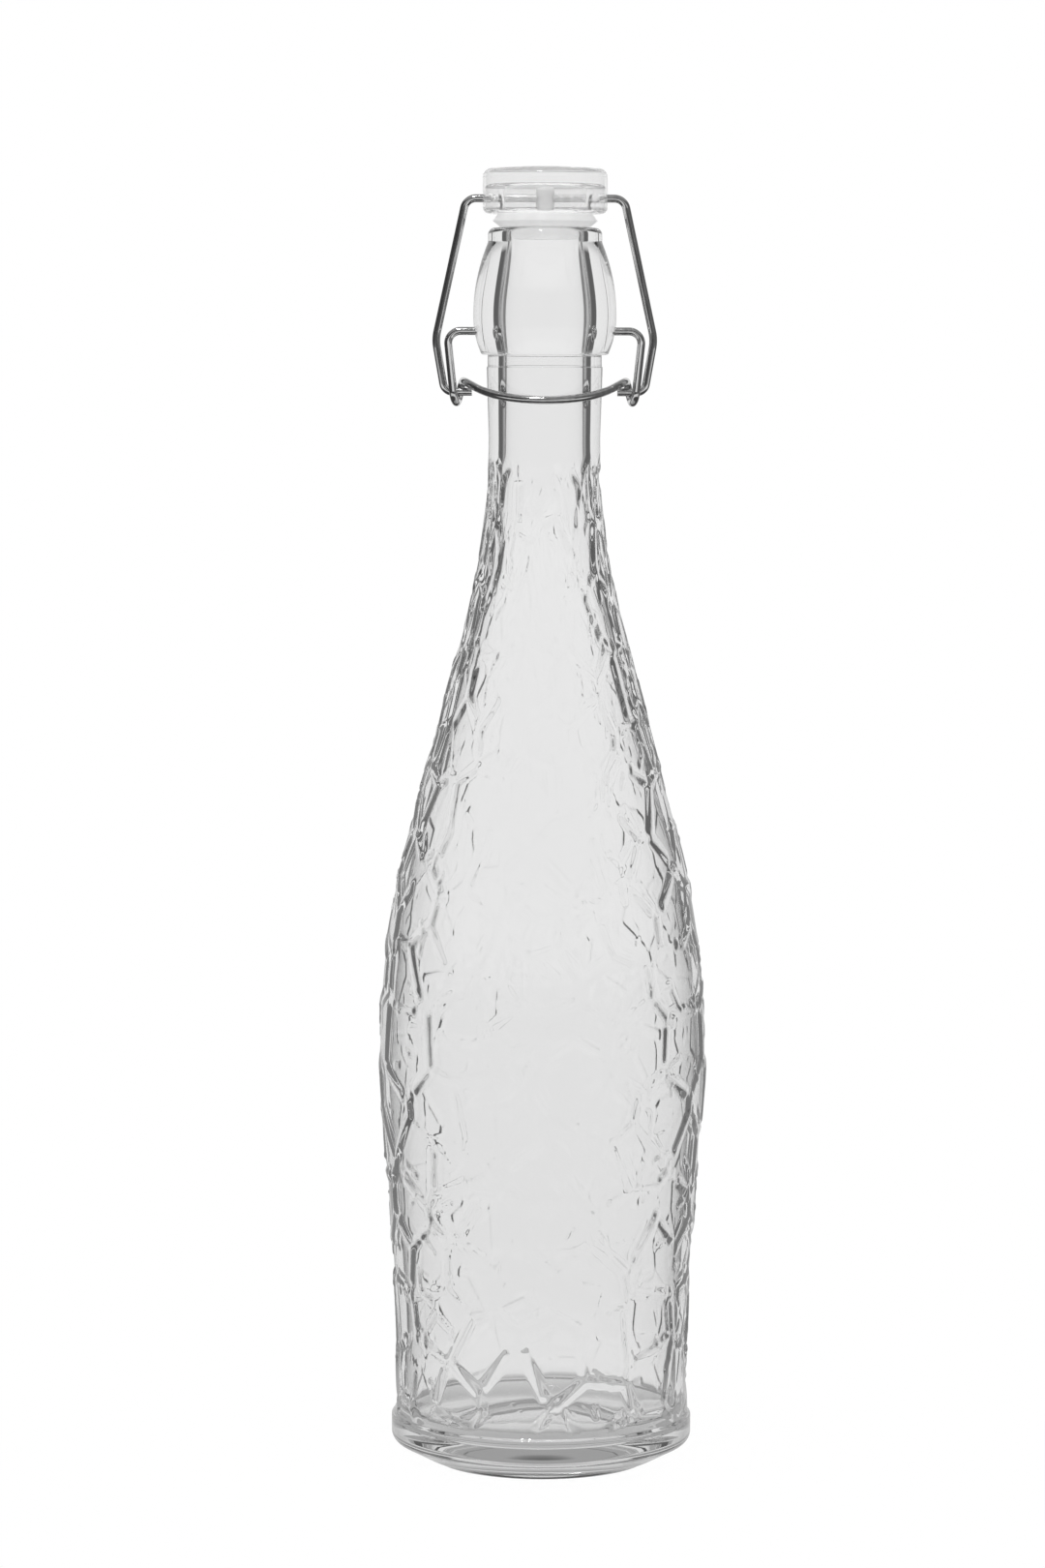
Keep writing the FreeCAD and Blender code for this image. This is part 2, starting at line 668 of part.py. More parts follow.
def draw_bail_path(path):
    """The bail's centre line: runs joined by bends, held by the corners that the bends round off."""
    corners = [("bail_foot", "bail_length"), ("bail_knee", "bail_knee_drop"), ("bail_shoulder", "")]
    bends = ["bail_foot_bend", "bail_knee_bend", "bail_shoulder_bend"]
    right = [FreeCAD.Vector(size("bail_pin_end"), -size("bail_length"), 0)]
    right += [FreeCAD.Vector(size(across), -size(drop) if drop else 0, 0) for across, drop in corners]
    left = [FreeCAD.Vector(-p.x, p.y, 0) for p in right]
    points = left + right[::-1]
    ends = []
    at = points[0]
    for before, corner, after, bend in zip(points, points[1:], points[2:], bends + bends[::-1]):
        leave, join = bend_ends(before, corner, after, size(bend))
        inward = ((leave - corner) + (join - corner)).normalize()
        centre = corner + inward * math.hypot(size(bend), (leave - corner).Length)
        ends.append((path.addGeometry(Part.LineSegment(at, leave)), 1, 2))
        ends.append(add_arc(path, leave, centre, join))
        bind(path, Sketcher.Constraint("Radius", ends[-1][0], size(bend)), bend)
        at = join
    ends.append((path.addGeometry(Part.LineSegment(at, points[-1])), 1, 2))
    for one, two in zip(ends, ends[1:]):
        path.addConstraint(Sketcher.Constraint("Tangent", one[0], one[2], two[0], two[1]))
    last = len(ends) - 1

    x_axis, z_axis, origin = -1, -2, (-1, 1)
    for i, (across, drop) in enumerate(corners):
        one, two = [path.addGeometry(Part.Point(side[i + 1]), True) for side in (right, left)]
        bind(path, Sketcher.Constraint("DistanceX", *origin, one, 1, size(across)), across)
        if drop:
            bind(path, Sketcher.Constraint("DistanceY", one, 1, *origin, size(drop)), drop)
        else:
            path.addConstraint(Sketcher.Constraint("PointOnObject", one, 1, x_axis))
        path.addConstraint(Sketcher.Constraint("Symmetric", one, 1, two, 1, z_axis))
        for point, runs in ((one, (last - 2 * i, last - 2 * i - 2)), (two, (2 * i, 2 * i + 2))):
            for run in runs:
                if run not in (0, last // 2, last):
                    path.addConstraint(Sketcher.Constraint("PointOnObject", point, 1, run))
    for end in (1, 2):
        path.addConstraint(Sketcher.Constraint("PointOnObject", last // 2, end, x_axis))
    path.addConstraint(Sketcher.Constraint("Horizontal", 0))
    path.addConstraint(Sketcher.Constraint("Horizontal", last))
    bind(path, Sketcher.Constraint("DistanceX", *origin, last, 2, size("bail_pin_end")), "bail_pin_end")
    bind(path, Sketcher.Constraint("DistanceY", last, 2, *origin, size("bail_length")), "bail_length")
    path.addConstraint(Sketcher.Constraint("Symmetric", last, 2, 0, 1, z_axis))


def make_bail():
    """One planar wire: crossbar through the cap, two legs, and inturned ends in the lever's eyes.

    It is drawn with the crossbar on the body's X axis, then raised and leaned to meet the eyes.
    """
    body = new_body("bail_wire")
    path = new_sketch(body, "bail_path", "XZ_Plane")
    draw_bail_path(path)
    section = new_sketch(body, "bail_section", "YZ_Plane")
    section.setExpression("AttachmentOffset.Base.y", "-Dimensions.bail_length")
    section.setExpression("AttachmentOffset.Base.z", "-Dimensions.bail_pin_end")
    add_wire_circle(section)
    wire = body.newObject("PartDesign::AdditivePipe", "bail_sweep")
    wire.Profile = section
    wire.Spine = path
    body.Placement = FreeCAD.Placement(FreeCAD.Vector(), FreeCAD.Rotation(FreeCAD.Vector(1, 0, 0), 1))
    body.setExpression("Placement.Base.z", "Dimensions.bail_axis")
    body.setExpression("Placement.Rotation.Angle", "Dimensions.bail_lean")
    return body


def lever_half_path():
    """From the pin in the glass, down the leg, once round the eye and along to the front middle."""
    pin_tip = FreeCAD.Vector(size("pin_end"), 0, size("pivot"))
    elbow = FreeCAD.Vector(size("lever_half_width"), 0, size("pivot"))
    quarters, quarter = 3, math.pi / 2
    drift = -size("eye_pitch") / quarters

    def eye_point(i):
        return FreeCAD.Vector(size("eye_half_spacing") + drift * i,
                              size("eye_over_centre") - size("eye_r") * math.cos(i * quarter),
                              size("eye") - size("eye_r") * math.sin(i * quarter))

    def eye_heading(i):
        along = FreeCAD.Vector(drift / quarter,
                               size("eye_r") * math.sin(i * quarter),
                               -size("eye_r") * math.cos(i * quarter))
        return along.normalize()

    rounds = [eye_point(i) for i in range(quarters + 1)]
    headings = [(rounds[0] - elbow).normalize()] + [eye_heading(i) for i in range(1, quarters + 1)]
    leave, join = bend_ends(pin_tip, elbow, rounds[0], size("lever_bend"))
    edges = [
        Part.LineSegment(pin_tip, leave),
        corner_arc(leave, elbow, join),
        Part.LineSegment(join, rounds[0]),
    ]
    for i in range(quarters):
        edges += biarc(rounds[i], headings[i], rounds[i + 1], headings[i + 1])

    # The arc lies in the sloping plane that holds the eye's way out, X and the front middle.
    way_out = rounds[-1] + headings[-1] * size("eye_exit")
    front = FreeCAD.Vector(0, -size("arc_front"), size("pivot") - size("arc_drop"))
    forward = FreeCAD.Vector(0, front.y - way_out.y, front.z - way_out.z)
    depth = forward.Length
    forward.normalize()
    spread = math.radians(size("arc_spread"))
    radius = (way_out.x - depth / math.tan(spread)) / math.tan(spread / 2)
    middle = front - forward * radius

    def arc_point(angle):
        return middle + forward * radius * math.cos(angle) + FreeCAD.Vector(radius * math.sin(angle), 0, 0)

    side = arc_point(spread)
    joined = way_out + (side - way_out).normalize() * size("eye_exit")
    edges.append(corner_arc(rounds[-1], way_out, joined))
    edges.append(Part.LineSegment(joined, side))
    edges.append(Part.Arc(side, arc_point(spread / 2), front))
    return edges


def make_lever():
    """One wire: two pins, two legs, two eyes and the thumb arc, swept along a path in space."""
    half = Part.Wire([edge.toShape() for edge in lever_half_path()])
    other = half.mirror(FreeCAD.Vector(), FreeCAD.Vector(1, 0, 0))
    path = doc.addObject("Part::Feature", "lever_path")
    path.Shape = Part.Wire(Part.__sortEdges__(half.Edges + other.Edges))
    section = doc.addObject("Part::Circle", "lever_section")
    section.setExpression("Radius", "Dimensions.wire_r")
    across = FreeCAD.Rotation(FreeCAD.Vector(0, 1, 0), 90)
    section.Placement = FreeCAD.Placement(path.Shape.OrderedVertexes[0].Point, across)
    lever = doc.addObject("Part::Sweep", "lever_wire")
    lever.Label = "lever_wire"
    lever.Sections = [section]
    lever.Spine = (path, ["Edge%d" % (i + 1) for i in range(len(path.Shape.Edges))])
    lever.Solid = True
    lever.Frenet = False
    doc.recompute()

    spacing = 0.25
    points = path.Shape.discretize(Distance=spacing)
    apart = math.ceil(math.pi * size("wire_diameter") / spacing)
    least = min((a - b).Length for i, a in enumerate(points) for b in points[i + apart:])
    print("lever wire: least gap to itself %.2f mm" % (least - size("wire_diameter")))
    drawn = path.Shape.Length * math.pi * size("wire_r") ** 2
    print("lever wire: volume %.1f mm3, section times length %.1f mm3" % (lever.Shape.Volume, drawn))
    return lever


def main():
    nodes = [make_bottle(), make_cap(), make_seal(), make_bail(), make_lever()]
    doc.recompute()
    for thing in doc.Objects:
        if {"Invalid", "Error"} & set(thing.State):
            raise ValueError("%s failed: %s" % (thing.Name, thing.State))
    for node in nodes:
        shape = node.Shape
        if shape.isNull() or not shape.isValid() or len(shape.Solids) != 1:
            raise ValueError(node.Label + " is not one valid solid")
    os.makedirs("parts", exist_ok=True)
    for node in nodes:
        node.Shape.exportStep("parts/%s.step" % node.Label)
        print("%s: %.1f mm3, %d faces" % (node.Label, node.Shape.Volume, len(node.Shape.Faces)))


main()
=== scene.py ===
import math
import random

import bpy
import numpy as np
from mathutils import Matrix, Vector


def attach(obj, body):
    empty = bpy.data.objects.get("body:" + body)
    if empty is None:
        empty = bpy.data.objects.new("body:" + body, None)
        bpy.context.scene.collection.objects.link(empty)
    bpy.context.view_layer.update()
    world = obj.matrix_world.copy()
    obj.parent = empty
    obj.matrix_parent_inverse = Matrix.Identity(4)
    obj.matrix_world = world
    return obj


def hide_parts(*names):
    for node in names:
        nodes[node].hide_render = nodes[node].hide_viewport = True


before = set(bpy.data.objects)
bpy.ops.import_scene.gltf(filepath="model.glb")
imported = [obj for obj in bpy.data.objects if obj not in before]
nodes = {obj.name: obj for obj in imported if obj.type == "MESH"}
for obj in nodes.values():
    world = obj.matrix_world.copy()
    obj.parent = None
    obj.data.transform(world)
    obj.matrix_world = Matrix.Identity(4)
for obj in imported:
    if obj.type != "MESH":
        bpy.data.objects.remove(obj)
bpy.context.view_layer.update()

scene = bpy.context.scene
mm = 0.001
tiny = 1e-9
caughtTurns = 2.5  # light that turns more often than this inside a wall is let out
print("frame loaded")


def newMaterial(name):
    made = bpy.data.materials.new(name)
    made.use_nodes = True
    made.node_tree.nodes.clear()
    return made, made.node_tree


def addNode(tree, kind, inputs=None, **settings):
    node = tree.nodes.new(kind)
    for key, value in settings.items():
        setattr(node, key, value)
    for key, value in (inputs or {}).items():
        if isinstance(value, bpy.types.NodeSocket):
            tree.links.new(value, node.inputs[key])
        else:
            node.inputs[key].default_value = value
    return node


def grey(level):
    return (level, level, level, 1)


def toGrey(tree, level):
    return addNode(tree, "ShaderNodeCombineColor", {0: level, 1: level, 2: level}).outputs[0]


def calc(tree, operation, one, two):
    return addNode(tree, "ShaderNodeMath", {0: one, 1: two}, operation=operation).outputs[0]


def blend(tree, share, one, two):
    return addNode(tree, "ShaderNodeMixRGB", {0: share, 1: one, 2: two}).outputs[0]


def mixShaders(tree, share, one, two):
    return addNode(tree, "ShaderNodeMixShader", {0: share, 1: one, 2: two}).outputs[0]


def coords(tree, kind):
    return addNode(tree, "ShaderNodeTexCoord").outputs[kind]


def heightOf(tree, kind):
    return addNode(tree, "ShaderNodeSeparateXYZ", {"Vector": coords(tree, kind)}).outputs["Z"]


def noise(tree, scale, detail=2.0, stretch=(1, 1, 1)):
    sized = addNode(tree, "ShaderNodeMapping", {"Vector": coords(tree, "Object"), "Scale": stretch})
    made = addNode(tree, "ShaderNodeTexNoise", {"Vector": sized.outputs[0], "Scale": scale, "Detail": detail})
    return made.outputs["Fac"]


# Left alone, it spreads the middle values of a noise.
def mapRange(tree, value, low, high, fromLow=0.3, fromHigh=0.7):
    made = addNode(tree, "ShaderNodeMapRange", {
        "Value": value, "From Min": fromLow, "From Max": fromHigh, "To Min": low, "To Max": high})
    return made.outputs["Result"]


def bump(tree, height, strength, distance):
    return addNode(tree, "ShaderNodeBump", {
        "Height": height, "Strength": strength, "Distance": distance}).outputs["Normal"]


def ramp(tree, value, stops):
    made = addNode(tree, "ShaderNodeValToRGB", {"Fac": value})
    band = made.color_ramp
    while len(band.elements) > 1:
        band.elements.remove(band.elements[-1])
    band.elements[0].position = stops[0][0]
    band.elements[0].color = grey(stops[0][1])
    for place, level in stops[1:]:
        band.elements.new(place).color = grey(level)
    return made.outputs["Color"]


def closeMaterial(tree, shader):
    addNode(tree, "ShaderNodeOutputMaterial", {"Surface": shader})


# Light passes clear pieces to whatever stands behind them, so shadows and what they hold stay pale.
def clearSurface(tree, shader, shade, caughtShade):
    path = addNode(tree, "ShaderNodeLightPath").outputs
    caught = calc(tree, "GREATER_THAN", path["Glossy Depth"], caughtTurns)
    letOut = addNode(tree, "ShaderNodeBsdfTransparent", {"Color": caughtShade}).outputs[0]
    shader = mixShaders(tree, caught, shader, letOut)
    scattered = calc(tree, "MAXIMUM", path["Is Shadow Ray"], path["Is Diffuse Ray"])
    through = addNode(tree, "ShaderNodeBsdfTransparent", {"Color": grey(shade)}).outputs[0]
    closeMaterial(tree, mixShaders(tree, scattered, shader, through))


# heights in metres
glass = {
    "waveScale": 55.0, "waveDetail": 1.0, "waveStrength": 0.06, "waveDepth": 0.001,
    "toneTop": 0.22, "tone": [(0.0, 0.8), (0.04, 0.8), (0.075, 0.955), (1.0, 0.99)],
    "grain": 300.0, "roughness": (0.0, 0.003), "ior": 1.5,
    # painted shade: light caught inside the wall is let out darkened to 0.42 above the foot, and at full
    # strength in the foot
    "shade": 0.98, "caught": (1.0, 0.42), "caughtHeights": (0.016, 0.026),
}


def makeGlass():
    made, tree = newMaterial("bottleGlass")
    ripple = noise(tree, glass["waveScale"], glass["waveDetail"])
    # greyer towards the bottom, and greyest in the thick foot
    height = heightOf(tree, "Object")
    tone = ramp(tree, mapRange(tree, height, 0.0, 1.0, 0.0, glass["toneTop"]), glass["tone"])
    body = addNode(tree, "ShaderNodeBsdfPrincipled", {
        "Base Color": tone, "IOR": glass["ior"], "Transmission Weight": 1.0,
        "Roughness": mapRange(tree, noise(tree, glass["grain"]), *glass["roughness"]),
        "Normal": bump(tree, ripple, glass["waveStrength"], glass["waveDepth"])})
    # painted shade: caught light is darkened above the foot
    caught = mapRange(tree, height, *glass["caught"], *glass["caughtHeights"])
    clearSurface(tree, body.outputs[0], glass["shade"], toGrey(tree, caught))
    return made


cap = {
    "waveScale": 160.0, "waveDetail": 1.0, "waveStrength": 0.05, "waveDepth": 0.0005,
    "tone": 0.985, "grain": 500.0, "roughness": (0.01, 0.05), "ior": 1.48,
    "hazeTone": 0.95, "hazeScale": 90.0, "hazeDetail": 3.0, "haze": (0.05, 0.12),
    "shade": 0.98, "caught": 0.95,
}


def makeClearPlastic():
    made, tree = newMaterial("capPlastic")
    ripple = noise(tree, cap["waveScale"], cap["waveDetail"])
    body = addNode(tree, "ShaderNodeBsdfPrincipled", {
        "Base Color": grey(cap["tone"]), "IOR": cap["ior"], "Transmission Weight": 1.0,
        "Roughness": mapRange(tree, noise(tree, cap["grain"]), *cap["roughness"]),
        "Normal": bump(tree, ripple, cap["waveStrength"], cap["waveDepth"])})
    haze = addNode(tree, "ShaderNodeBsdfTranslucent", {"Color": grey(cap["hazeTone"])})
    share = mapRange(tree, noise(tree, cap["hazeScale"], cap["hazeDetail"]), *cap["haze"])
    milky = mixShaders(tree, share, body.outputs[0], haze.outputs[0])
    clearSurface(tree, milky, cap["shade"], grey(cap["caught"]))
    return made


seal = {
    "cloudScale": 220.0, "cloudDetail": 3.0, "cloud": (0.7, 0.76),
    # painted light on the plug: a tone factor for the seal's low part, and the span of the seal's height over
    # which it fades
    "paintedPlugLight": (1.22, 1.0), "paintedPlugLightHeights": (0.2, 0.34),  # shares of the seal's height
    "grain": 700.0, "roughness": (0.38, 0.5), "ior": 1.41,
    "softWeight": 0.6, "softRadius": (0.004, 0.004, 0.004),
    "skinScale": 2500.0, "skinStrength": 0.12, "skinDepth": 0.0001, "through": 0.2,
}


def makeSilicone():
    made, tree = newMaterial("sealSilicone")
    cloud = mapRange(tree, noise(tree, seal["cloudScale"], seal["cloudDetail"]), *seal["cloud"])
    # painted light: the plug is drawn about a fifth paler than the flange and the stem, to make up for the
    # shade it gets under the flange and inside the neck
    paintedPlugLight = mapRange(tree, heightOf(tree, "Generated"), *seal["paintedPlugLight"], *seal["paintedPlugLightHeights"])
    tone = toGrey(tree, calc(tree, "MULTIPLY", cloud, paintedPlugLight))
    body = addNode(tree, "ShaderNodeBsdfPrincipled", {
        "Base Color": tone, "IOR": seal["ior"],
        "Roughness": mapRange(tree, noise(tree, seal["grain"]), *seal["roughness"]),
        "Subsurface Weight": seal["softWeight"],
        "Subsurface Radius": seal["softRadius"], "Subsurface Scale": 1.0,
        "Normal": bump(tree, noise(tree, seal["skinScale"]), seal["skinStrength"], seal["skinDepth"])})
    through = addNode(tree, "ShaderNodeBsdfTranslucent", {"Color": tone})
    closeMaterial(tree, mixShaders(tree, seal["through"], body.outputs[0], through.outputs[0]))
    return made


wires = {
    "streakScale": 900.0, "streakDetail": 3.0, "streakStretch": (1, 1, 0.08),
    "tone": (0.6, 0.78), "roughness": (0.07, 0.16), "streakStrength": 0.03, "streakDepth": 0.00005,
}


def makeSteel():
    made, tree = newMaterial("wireSteel")
    streaks = noise(tree, wires["streakScale"], wires["streakDetail"], wires["streakStretch"])
    body = addNode(tree, "ShaderNodeBsdfPrincipled", {
        "Base Color": toGrey(tree, mapRange(tree, streaks, *wires["tone"])), "Metallic": 1.0,
        "Roughness": mapRange(tree, streaks, *wires["roughness"]),
        "Normal": bump(tree, streaks, wires["streakStrength"], wires["streakDepth"])})
    closeMaterial(tree, body.outputs[0])
    return made


# A turned outline, in millimetres of (radius, height), grows from these three moves.
def lineTo(points, r, z, step):
    start, end = np.array(points[-1]), np.array((r, z))
    count = max(1, math.ceil(np.linalg.norm(end - start) / step))
    points += [tuple(start + (end - start) * i / count) for i in range(1, count + 1)]


# It leaves its start, or reaches its end, either level or plumb with the centre.
def arcTo(points, kind, r, z, step):
    start, end = np.array(points[-1]), np.array((r, z), float)
    here, there = (start, end) if kind.endswith("Start") else (end, start)
    reach = there - here
    half = reach.dot(reach) / 2
    centre = here + ((half / reach[0], 0) if kind.startswith("level") else (0, half / reach[1]))
    first, last = [math.atan2(p[1] - centre[1], p[0] - centre[0]) for p in (start, end)]
    turn = (last - first + math.pi) % math.tau - math.pi
    radius = np.linalg.norm(start - centre)
    count = max(3, math.ceil(abs(turn) * radius / step))
    angles = [first + turn * i / count for i in range(1, count + 1)]
    points += [(centre[0] + radius * math.cos(a), centre[1] + radius * math.sin(a)) for a in angles]


# An S of two arcs with a straight run between them.
def flowTo(points, r, z, steepness, share, step):
    low, rise = points[-1], z - points[-1][1]
    side = r - low[0]
    slope = steepness * math.atan(side / rise)
    drift = 1 - math.cos(slope)
    total = (rise * math.sin(slope) - side * math.cos(slope)) / drift
    below, above = total * share, total * (1 - share)
    arcTo(points, "levelStart", low[0] + below * drift, low[1] + below * math.sin(slope), step)
    lineTo(points, r - above * drift, z - above * math.sin(slope), step)
    arcTo(points, "levelEnd", r, z, step)


bottle = {
    "around": 640,
    "steps": {"fine": 0.66, "plain": 1.6, "short": 0.9, "edge": 0.5, "lip": 0.4, "tight": 0.3, "socket": 0.24,
              "mouth": 1.2, "long": 2.5, "heel": 1.1, "inside": 3.0, "neck": 4.0},
    "corner": {"reach": 0.3, "sharpTurn": 0.25, "mostShare": 0.45, "pieces": 4},
    # outside: one number is a radius or a height, two are (radius, height)
    "puntHeight": 7.0, "landInner": 23.0, "landOuter": 26.2, "footEdge": (27.0, 0.8), "footHeight": 1.2,
    "heelInner": 29.058, "heelOuter": (35.88, 4.737), "bandLow": (37.5, 7.4), "bandHigh": (37.5, 11.6),
    "bodyFoot": (36.8, 12.3), "bodyLow": (36.8, 24.0), "belly": (41.1, 103.0),
    "neckLow": (13.8, 256.0), "neckHigh": (14.35, 273.3), "mouldLine": (14.1, 273.3),
    "neckTop": (14.1, 276.3), "finishLow": (15.2, 276.3), "finishEdge": (15.9, 277.0),
    "finishWide": (17.7, 285.8),
    "lipLow": (14.1, 303.9), "lipHigh": (14.1, 305.8), "rimOuter": (12.4, 307.5), "rimInner": (9.35, 307.5),
    "mouthHigh": (8.85, 307.0), "mouthLow": (8.85, 303.5),
    # inside
    "floorHeight": 14.0, "floorEdge": (25.6, 8.2), "wallFoot": (33.6, 16.2), "wallLow": (33.6, 24.0),
    "wallBelly": (37.9, 103.0), "boreLow": (9.85, 256.0), "boreHigh": (9.85, 276.3),
    "boreWide": (10.45, 285.8),
    # steepness of each S, and the lower arc's share of it
    "bodyFlow": (1.315, 0.763), "shoulderFlow": (1.475, 0.546), "boreFlow": (1.5, 0.5),
    "seed": 11, "repeats": 3, "columns": 5, "firstRow": 22.0, "lastRow": 15, "wander": 0.36,
    "reliefFoot": (12.5, 14.0), "reliefTop": (252.0, 246.0), "ridgeHeight": 0.6, "neckFade": 0.2,
    "ridge": {"stray": 2.5, "nearRows": 2.4, "taper": 1.6, "roundness": 1.25, "mostLean": 0.2},
    "net": {"pitch": 14.5, "strength": (0.55, 1.0), "gapShare": 0.1, "half": (1.25, 1.85),
            "reach": (4.5, 10.0), "tilt": 0.012},
    "fineNet": {"pitch": 6.0, "strength": (0.5, 1.0), "gapShare": 0.64, "half": (0.65, 1.0),
                "reach": (2.0, 5.0), "tilt": 0.0, "height": 0.34, "columns": 16, "wander": 0.42,
                "firstRow": 12, "rise": 250},
    "pivotHeight": 282.1, "socketFloor": 13.75, "socketRadius": 1.28,
    "stipple": 0.16, "stippleRadii": (23.3, 26.0), "onFloor": 0.01,
}


# Sharp turns of the outline become small rounded ones, as moulded glass has.
def easeCorners(points):
    corners = bottle["corner"]
    eased = [points[0]]
    for before, corner, after in zip(points, points[1:], points[2:]):
        back, on = np.subtract(before, corner), np.subtract(after, corner)
        backLength, onLength = np.linalg.norm(back), np.linalg.norm(on)
        turn = math.acos(max(-1, min(1, -back.dot(on) / backLength / onLength)))
        if turn < corners["sharpTurn"]:
            eased.append(corner)
            continue
        middle = np.array(corner)
        one = middle + back / backLength * min(corners["reach"], backLength * corners["mostShare"])
        two = middle + on / onLength * min(corners["reach"], onLength * corners["mostShare"])
        for t in np.linspace(0, 1, corners["pieces"] + 1):
            eased.append(tuple(one * (1 - t) ** 2 + 2 * middle * t * (1 - t) + two * t * t))
    return eased + [points[-1]]


def bottleOutside():
    step = bottle["steps"]
    points = [(0.0, bottle["puntHeight"])]
    arcTo(points, "plumbStart", bottle["landInner"], 0.0, step["plain"])
    lineTo(points, bottle["landOuter"], 0.0, step["short"])
    arcTo(points, "plumbStart", *bottle["footEdge"], step["tight"])
    lineTo(points, bottle["footEdge"][0], bottle["footHeight"], step["short"])
    lineTo(points, bottle["heelInner"], bottle["footHeight"], step["short"])
    lineTo(points, *bottle["heelOuter"], step["short"])
    arcTo(points, "levelEnd", *bottle["bandLow"], step["edge"])
    lineTo(points, *bottle["bandHigh"], step["short"])
    lineTo(points, *bottle["bodyFoot"], step["edge"])
    lineTo(points, *bottle["bodyLow"], step["fine"])
    flowTo(points, *bottle["belly"], *bottle["bodyFlow"], step["fine"])
    flowTo(points, *bottle["neckLow"], *bottle["shoulderFlow"], step["fine"])
    lineTo(points, *bottle["neckHigh"], step["long"])
    lineTo(points, *bottle["mouldLine"], step["mouth"])
    lineTo(points, *bottle["neckTop"], step["mouth"])
    lineTo(points, *bottle["finishLow"], step["short"])
    arcTo(points, "plumbStart", *bottle["finishEdge"], step["tight"])
    arcTo(points, "levelEnd", *bottle["finishWide"], step["socket"])
    arcTo(points, "levelStart", *bottle["lipLow"], step["plain"])
    lineTo(points, *bottle["lipHigh"], step["short"])
    arcTo(points, "levelStart", *bottle["rimOuter"], step["lip"])
    lineTo(points, *bottle["rimInner"], step["mouth"])
    arcTo(points, "plumbStart", *bottle["mouthHigh"], step["socket"])
    lineTo(points, *bottle["mouthLow"], step["mouth"])
    return points


def bottleInside():
    step = bottle["steps"]
    points = [(0.0, bottle["floorHeight"])]
    arcTo(points, "plumbStart", *bottle["floorEdge"], step["plain"])
    arcTo(points, "levelEnd", *bottle["wallFoot"], step["heel"])
    lineTo(points, *bottle["wallLow"], step["long"])
    flowTo(points, *bottle["wallBelly"], *bottle["bodyFlow"], step["inside"])
    flowTo(points, *bottle["boreLow"], *bottle["shoulderFlow"], step["inside"])
    lineTo(points, *bottle["boreHigh"], step["neck"])
    flowTo(points, *bottle["boreWide"], *bottle["boreFlow"], step["plain"])
    flowTo(points, *bottle["mouthLow"], *bottle["boreFlow"], step["plain"])
    return points


# From the punt's middle up the outside, over the rim and down the inside.
def bottleOutline():
    return easeCorners(bottleOutside() + bottleInside()[-2::-1])


def easeStep(value, low, high):
    t = np.clip((value - low) / (high - low), 0, 1)
    return t * t * (3 - 2 * t)


# The crackle's cells lie round the same centres as in the part.
def crackleCentres():
    rng, turn, wander = random.Random(bottle["seed"]), math.tau / bottle["repeats"], bottle["wander"]
    one = []
    for row in range(-1, bottle["lastRow"] + 2):
        for column in range(bottle["columns"]):
            across = column + row % 2 / 2 + rng.uniform(-wander, wander)
            up = row + rng.uniform(-wander, wander)
            one.append((across * turn / bottle["columns"], bottle["firstRow"] + up * bottle["net"]["pitch"]))
    return np.array([(angle + turn * i, height) for i in range(bottle["repeats"]) for angle, height in one]).T


# Ridges of uneven strength and length run between the cells round the given centres.
def ridgeNet(centres, net, radius, height, angles, rng):
    ridges, bellyRadius = bottle["ridge"], bottle["belly"][0]
    siteAngle, siteHeight = centres
    count = siteAngle.size
    strength = rng.uniform(*net["strength"], (count, count))
    strength[rng.random(strength.shape) < net["gapShare"]] = 0.0
    half = rng.uniform(*net["half"], strength.shape)
    middle = rng.uniform(-ridges["stray"], ridges["stray"], strength.shape)
    reach = rng.uniform(*net["reach"], strength.shape)
    tilt = rng.normal(0, net["tilt"], (2, count))
    ridge, lean = np.zeros((2, len(radius), len(angles)))
    pick = np.arange(len(angles))
    for i, (r, z) in enumerate(zip(radius, height)):
        near = np.flatnonzero(abs(siteHeight - z) < ridges["nearRows"] * net["pitch"])
        across = (angles[:, None] - siteAngle[None, near] + math.pi) % math.tau - math.pi
        across *= bellyRadius
        up = np.broadcast_to(z - siteHeight[near], across.shape)
        far = across ** 2 + up ** 2
        own = far.argmin(1)
        acrossOwn, upOwn = across[pick, own], up[pick, own]
        gap = (far - far[pick, own][:, None]) / 2
        squeeze = bellyRadius / r
        slope = np.hypot((acrossOwn[:, None] - across) * squeeze, upOwn[:, None] - up)
        one, two = near[own][:, None], near[None, :]
        low, high = np.minimum(one, two), np.maximum(one, two)
        away = np.where(slope > 0, gap / np.maximum(slope, tiny), 1 / tiny) / half[low, high]
        # where along the edge between the two cells a point lies, for strokes that stop short
        side = np.where(one < two, 1, -1)
        tx, ty = (acrossOwn[:, None] - across) * side, (upOwn[:, None] - up) * side
        along = (across + acrossOwn[:, None]) * -ty + (up + upOwn[:, None]) * tx
        along = along / 2 / np.maximum(np.hypot(tx, ty), tiny)
        stop = easeStep(abs(along - middle[low, high]), reach[low, high], reach[low, high] - ridges["taper"])
        crest = np.clip(1 - away ** 2, 0, 1) ** ridges["roundness"]
        ridge[i] = (strength[low, high] * stop * crest).max(1)
        lean[i] = tilt[0, near[own]] * acrossOwn / squeeze + tilt[1, near[own]] * upOwn
    return ridge, np.clip(lean, -ridges["mostLean"], ridges["mostLean"])


